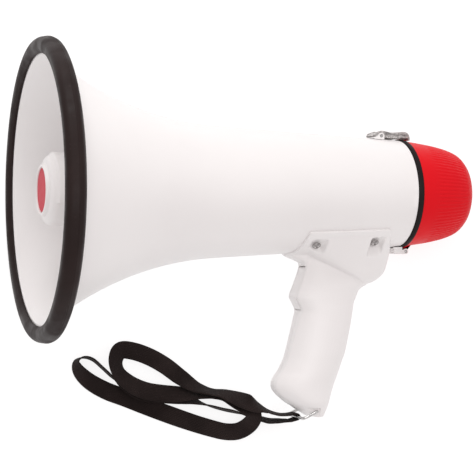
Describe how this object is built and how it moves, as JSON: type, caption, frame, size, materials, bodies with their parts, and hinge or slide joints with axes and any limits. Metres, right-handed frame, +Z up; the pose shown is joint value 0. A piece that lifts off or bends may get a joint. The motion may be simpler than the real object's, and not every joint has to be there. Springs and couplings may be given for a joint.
{
  "type": "handheld megaphone",
  "caption": "Handheld megaphone with a flared bell, folded horn, pistol grip, trigger, hinged battery cap and webbing wrist strap, lying on its side.",
  "frame": {"origin": "on the table under the middle of the megaphone as it lies on its right side (strap left out)", "axes": "+Z up from the table, +X from the bell back to the cap, +Y from the grip to the latch side"},
  "size_m": [0.3374, 0.2687, 0.2012],
  "materials": {
    "white_abs": "moulded satin white ABS",
    "red_abs": "glossy red ABS",
    "black_rubber": "matt black rubber",
    "cast_metal": "grey plated latch metal, lightly mottled",
    "bright_steel": "bright plated steel wire and screws",
    "black_plastic": "matt black plastic",
    "brass": "plated contact metal",
    "circuit_board": "green circuit board",
    "ferrite": "dark sintered ferrite",
    "aluminium": "plain aluminium",
    "cell_wrap": "plain blue wrapped dry cell",
    "black_webbing": "black woven webbing"
  },
  "bodies": {
    "shell": {"amp_board": "circuit_board", "amp_capacitor_1": "black_plastic", "amp_capacitor_2": "black_plastic", "battery_tray": "black_plastic", "bulkhead": "black_plastic", "cap_hinge_base": "white_abs", "cap_hinge_pin": "bright_steel", "cell_1": "cell_wrap", "cell_2": "cell_wrap", "cell_3": "cell_wrap", "cell_4": "cell_wrap", "cell_5": "cell_wrap", "cell_6": "cell_wrap", "cell_7": "cell_wrap", "cell_8": "cell_wrap", "contact_strip_left": "brass", "contact_strip_right": "brass", "driver_diaphragm": "aluminium", "driver_housing": "black_plastic", "driver_magnet": "ferrite", "driver_yoke": "bright_steel", "gasket": "black_rubber", "grip_left": "white_abs", "grip_right": "white_abs", "heatsink": "aluminium", "horn_shell": "white_abs", "horn_throat": "white_abs", "latch_base": "white_abs", "latch_pin": "bright_steel", "nose_disc": "red_abs", "output_transformer": "ferrite", "reflector_cup": "white_abs", "rim_bumper": "black_rubber", "saddle_screw_1": "bright_steel", "saddle_screw_2": "bright_steel", "saddle_screw_3": "bright_steel", "saddle_screw_4": "bright_steel", "strap_webbing": "black_webbing", "talk_switch": "black_plastic", "top_plate": "bright_steel", "trigger_pin": "bright_steel", "trigger_spring": "bright_steel", "voice_coil": "brass"},
    "cap": {"rear_cap": "red_abs", "control_board": "circuit_board", "volume_pot": "bright_steel", "mic_capsule": "black_plastic", "mode_switch": "black_plastic", "contact_board": "circuit_board", "mic_grille": "black_plastic"},
    "volume_knob": {"volume_knob": "black_plastic"},
    "mode_slider": {"mode_slider": "black_plastic"},
    "trigger": {"trigger": "white_abs"},
    "latch_lever": {"latch_lever": "cast_metal", "latch_link_pin": "bright_steel"},
    "latch_link": {"latch_link": "cast_metal"},
    "strap_ring": {"strap_ring": "bright_steel", "strap_end_loop": "black_webbing"}
  },
  "joints": [
    {"name": "rear_cap_hinge", "type": "hinge", "parent": "shell", "child": "cap", "pos_m": [0.11553, -0.01281, 0.02941], "axis": [-0.2212, 0.2625, -0.9392], "range_deg": [0, 50]},
    {"name": "latch_lever_hinge", "type": "hinge", "parent": "shell", "child": "latch_lever", "pos_m": [0.10147, 0.06766, 0.05522], "axis": [-0.2212, 0.2625, -0.9392], "range_deg": [0, 66]},
    {"name": "latch_link_hinge", "type": "hinge", "parent": "latch_lever", "child": "latch_link", "pos_m": [0.0987, 0.06853, 0.05611], "axis": [-0.2212, 0.2625, -0.9392], "range_deg": [-110, 0]},
    {"name": "trigger_hinge", "type": "hinge", "parent": "shell", "child": "trigger", "pos_m": [0.04761, -0.02642, 0.04161], "axis": [-0.2212, 0.2625, -0.9392], "range_deg": [-7, 0], "stiffness_Nm_per_rad": 1.5, "springref_deg": 3.44},
    {"name": "volume_turn", "type": "hinge", "parent": "cap", "child": "volume_knob", "pos_m": [0.15899, 0.01989, 0.02246], "axis": [0.9734, 0, -0.2293], "range_deg": [0, 280]},
    {"name": "mode_slide", "type": "slide", "parent": "cap", "child": "mode_slider", "axis": [0.0602, 0.9649, 0.2555], "range_m": [0, 0.0044]},
    {"name": "strap_ring_swing", "type": "hinge", "parent": "shell", "child": "strap_ring", "pos_m": [0.03894, -0.12176, 0.01701], "axis": [-0.2212, 0.2625, -0.9392], "range_deg": [-75, 0], "deforming": ["strap_webbing"]}
  ],
  "couplings": [
    {"joint": "latch_lever_hinge", "follows": "rear_cap_hinge", "ratio": 1.2},
    {"joint": "latch_link_hinge", "follows": "rear_cap_hinge", "ratio": -2}
  ]
}
